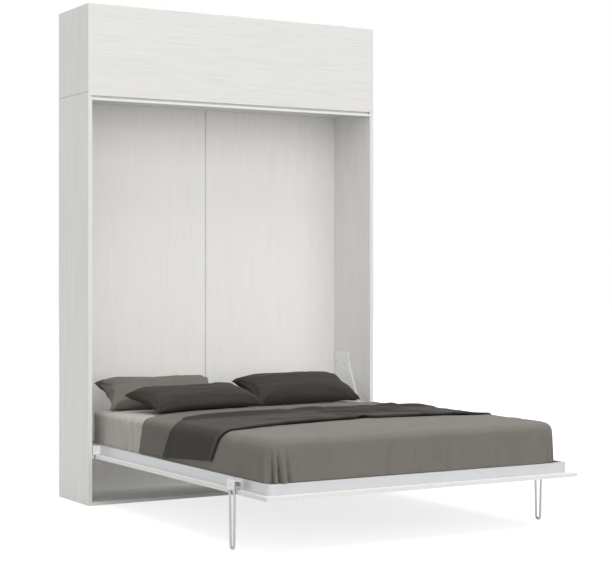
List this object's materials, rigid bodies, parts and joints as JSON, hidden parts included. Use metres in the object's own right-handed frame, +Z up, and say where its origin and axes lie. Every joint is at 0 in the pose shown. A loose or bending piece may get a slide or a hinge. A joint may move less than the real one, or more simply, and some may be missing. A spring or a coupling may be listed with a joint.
{
  "type": "wall bed",
  "caption": "Double bed that tilts down out of a tall wall cabinet on pivot arms and gas springs, with self-levelling legs and a shallow lift-up flap cupboard above.",
  "frame": {"origin": "centre of the cabinet's base on the floor", "axes": "+Z up, +Y towards the wall the cabinet stands against, +X to the right seen from the foot of the bed"},
  "size_m": [1.78, 2.282, 2.6512],
  "materials": {
    "board": "warm white ash laminate with fine vertical grain, satin",
    "board_edge": "the same laminate, grain along X",
    "back_board": "white laminated back board, satin",
    "strip": "satin extrusion",
    "frame_steel": "silver-white powder coat, satin",
    "slat_wood": "lacquered beech ply",
    "cap_plastic": "moulded, matt",
    "plate_steel": "light grey powder coat",
    "pin_steel": "turned, satin",
    "bush_bronze": "plain bearing bronze",
    "spring_black": "black gloss tube",
    "spring_chrome": "hard chrome rod",
    "leg_chrome": "bright plated rod",
    "leg_plate": "light grey powder coat",
    "hinge_steel": "satin",
    "mattress_cloth": "light taupe fitted sheet",
    "top_sheet_cloth": "mid grey woven cotton",
    "duvet_cloth": "taupe woven cotton",
    "throw_cloth": "dark brown-grey woven throw",
    "pillow_light": "taupe-grey woven cotton",
    "pillow_dark": "dark brown-grey woven cotton"
  },
  "bodies": {
    "cabinet": {"side_panel_left": "board", "side_panel_right": "board", "upper_side_left": "board", "upper_side_right": "board", "bottom_board": "board_edge", "lower_top_panel": "board_edge", "top_stop_strip": "strip", "back_panel_left": "back_board", "back_panel_right": "back_board", "back_batten": "back_board", "upper_bottom_panel": "board_edge", "upper_top_panel": "board_edge", "upper_back_panel": "back_board", "wall_fixing_rail": "board_edge", "side_plate_left": "plate_steel", "side_plate_right": "plate_steel", "pivot_pins": "pin_steel", "spring_studs": "pin_steel", "stay_brackets": "hinge_steel", "flap_hinge_fixed_leaves": "hinge_steel"},
    "bed": {"bed_panel_left": "board", "bed_panel_right": "board", "rail_left": "frame_steel", "rail_right": "frame_steel", "rail_foot": "frame_steel", "rail_head": "frame_steel", "centre_beam": "frame_steel", "cross_bars": "frame_steel", "slats": "slat_wood", "slat_caps": "cap_plastic", "mattress_bow": "frame_steel", "pivot_arm_left": "plate_steel", "pivot_arm_right": "plate_steel", "pivot_bushes": "bush_bronze", "leg_bracket_left": "leg_plate", "leg_bracket_right": "leg_plate", "leg_pins": "pin_steel", "mattress": "mattress_cloth", "top_sheet": "top_sheet_cloth", "throw": "throw_cloth", "duvet": "duvet_cloth", "pillow_back_left": "pillow_light", "pillow_front_left": "pillow_dark", "pillow_right": "pillow_dark"},
    "leg_left": {"leg_left": "leg_chrome"},
    "leg_right": {"leg_right": "leg_chrome"},
    "spring_tube_left": {"spring_tube_left": "spring_black"},
    "spring_tube_right": {"spring_tube_right": "spring_black"},
    "spring_rod_left": {"spring_rod_left": "spring_chrome"},
    "spring_rod_right": {"spring_rod_right": "spring_chrome"},
    "flap": {"flap_door": "board_edge", "flap_hinge_door_leaves": "hinge_steel", "stay_door_tabs": "hinge_steel"},
    "stay_tube_left": {"stay_tube_left": "spring_black"},
    "stay_tube_right": {"stay_tube_right": "spring_black"},
    "stay_rod_left": {"stay_rod_left": "spring_chrome"},
    "stay_rod_right": {"stay_rod_right": "spring_chrome"}
  },
  "joints": [
    {"name": "bed_tilt", "type": "hinge", "parent": "cabinet", "child": "bed", "pos_m": [0, -0.194, 0.254], "axis": [-1, 0, 0], "range_deg": [0, 90], "deforming": ["pillow_back_left", "pillow_front_left", "pillow_right"]},
    {"name": "leg_left_fold", "type": "hinge", "parent": "bed", "child": "leg_left", "pos_m": [-0.857, -1.769, 0.29], "axis": [1, 0, 0], "range_deg": [0, 90]},
    {"name": "leg_right_fold", "type": "hinge", "parent": "bed", "child": "leg_right", "pos_m": [0.857, -1.769, 0.29], "axis": [1, 0, 0], "range_deg": [0, 90]},
    {"name": "spring_left_swing", "type": "hinge", "parent": "cabinet", "child": "spring_tube_left", "pos_m": [-0.84, 0.122, 0.565], "axis": [-1, 0, 0], "range_deg": [-8, 2]},
    {"name": "spring_left_slide", "type": "slide", "parent": "spring_tube_left", "child": "spring_rod_left", "axis": [0, -0.5946, -0.804], "range_m": [0, 0.18]},
    {"name": "spring_right_swing", "type": "hinge", "parent": "cabinet", "child": "spring_tube_right", "pos_m": [0.84, 0.122, 0.565], "axis": [-1, 0, 0], "range_deg": [-8, 2]},
    {"name": "spring_right_slide", "type": "slide", "parent": "spring_tube_right", "child": "spring_rod_right", "axis": [0, -0.5946, -0.804], "range_m": [0, 0.18]},
    {"name": "flap_hinge", "type": "hinge", "parent": "cabinet", "child": "flap", "pos_m": [0, -0.188, 2.6482], "axis": [-1, 0, 0], "range_deg": [0, 90]},
    {"name": "stay_left_swing", "type": "hinge", "parent": "cabinet", "child": "stay_tube_left", "pos_m": [-0.852, 0.052, 2.3302], "axis": [-1, 0, 0], "range_deg": [-8, 2]},
    {"name": "stay_left_slide", "type": "slide", "parent": "stay_tube_left", "child": "stay_rod_left", "axis": [0, -0.6602, 0.7511], "range_m": [0, 0.1]},
    {"name": "stay_right_swing", "type": "hinge", "parent": "cabinet", "child": "stay_tube_right", "pos_m": [0.852, 0.052, 2.3302], "axis": [-1, 0, 0], "range_deg": [-8, 2]},
    {"name": "stay_right_slide", "type": "slide", "parent": "stay_tube_right", "child": "stay_rod_right", "axis": [0, -0.6602, 0.7511], "range_m": [0, 0.1]}
  ],
  "couplings": [
    {"joint": "leg_left_fold", "follows": "bed_tilt", "ratio": 1},
    {"joint": "leg_right_fold", "follows": "bed_tilt", "ratio": 1},
    {"joint": "spring_left_swing", "follows": "bed_tilt", "ratio": -0.049138},
    {"joint": "spring_left_slide", "follows": "bed_tilt", "m_per_rad": 0.11394},
    {"joint": "spring_right_swing", "follows": "bed_tilt", "ratio": -0.049138},
    {"joint": "spring_right_slide", "follows": "bed_tilt", "m_per_rad": 0.11394},
    {"joint": "stay_left_swing", "follows": "flap_hinge", "ratio": -0.055632},
    {"joint": "stay_left_slide", "follows": "flap_hinge", "m_per_rad": 0.062661},
    {"joint": "stay_right_swing", "follows": "flap_hinge", "ratio": -0.055632},
    {"joint": "stay_right_slide", "follows": "flap_hinge", "m_per_rad": 0.062661}
  ]
}
